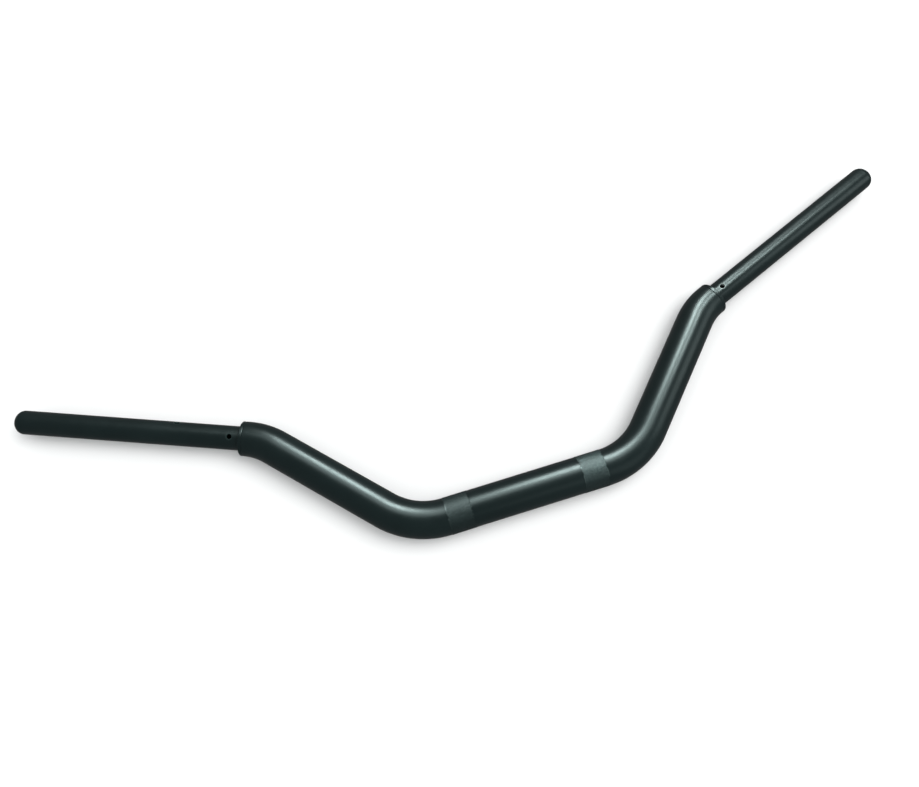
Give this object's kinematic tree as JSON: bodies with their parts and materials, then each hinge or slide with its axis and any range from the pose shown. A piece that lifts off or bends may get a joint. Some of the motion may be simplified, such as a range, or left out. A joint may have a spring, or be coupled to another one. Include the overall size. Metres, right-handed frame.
{
  "type": "motorcycle handlebar",
  "caption": "Bent motorcycle handlebar: a fat tube with two bends a side steps down at flanged collars to straight grip tubes with domed ends.",
  "frame": {"origin": "middle of the clamp section, on the tube's axis", "axes": "+X along the clamp section towards the right grip, +Y from the clamp section towards the grips, +Z normal to the plane that the bar is bent in"},
  "size_m": [0.8606, 0.2293, 0.0338],
  "materials": {
    "tube_black": "satin black coating on aluminium tube",
    "collar_black": "satin black coating on turned aluminium",
    "plug_black": "satin black coating on turned aluminium"
  },
  "bodies": {
    "root": {"centre_tube": "tube_black", "left_grip_tube": "tube_black", "right_grip_tube": "tube_black", "left_reducer_bush": "collar_black", "right_reducer_bush": "collar_black", "left_end_plug": "plug_black", "right_end_plug": "plug_black"}
  },
  "joints": []
}
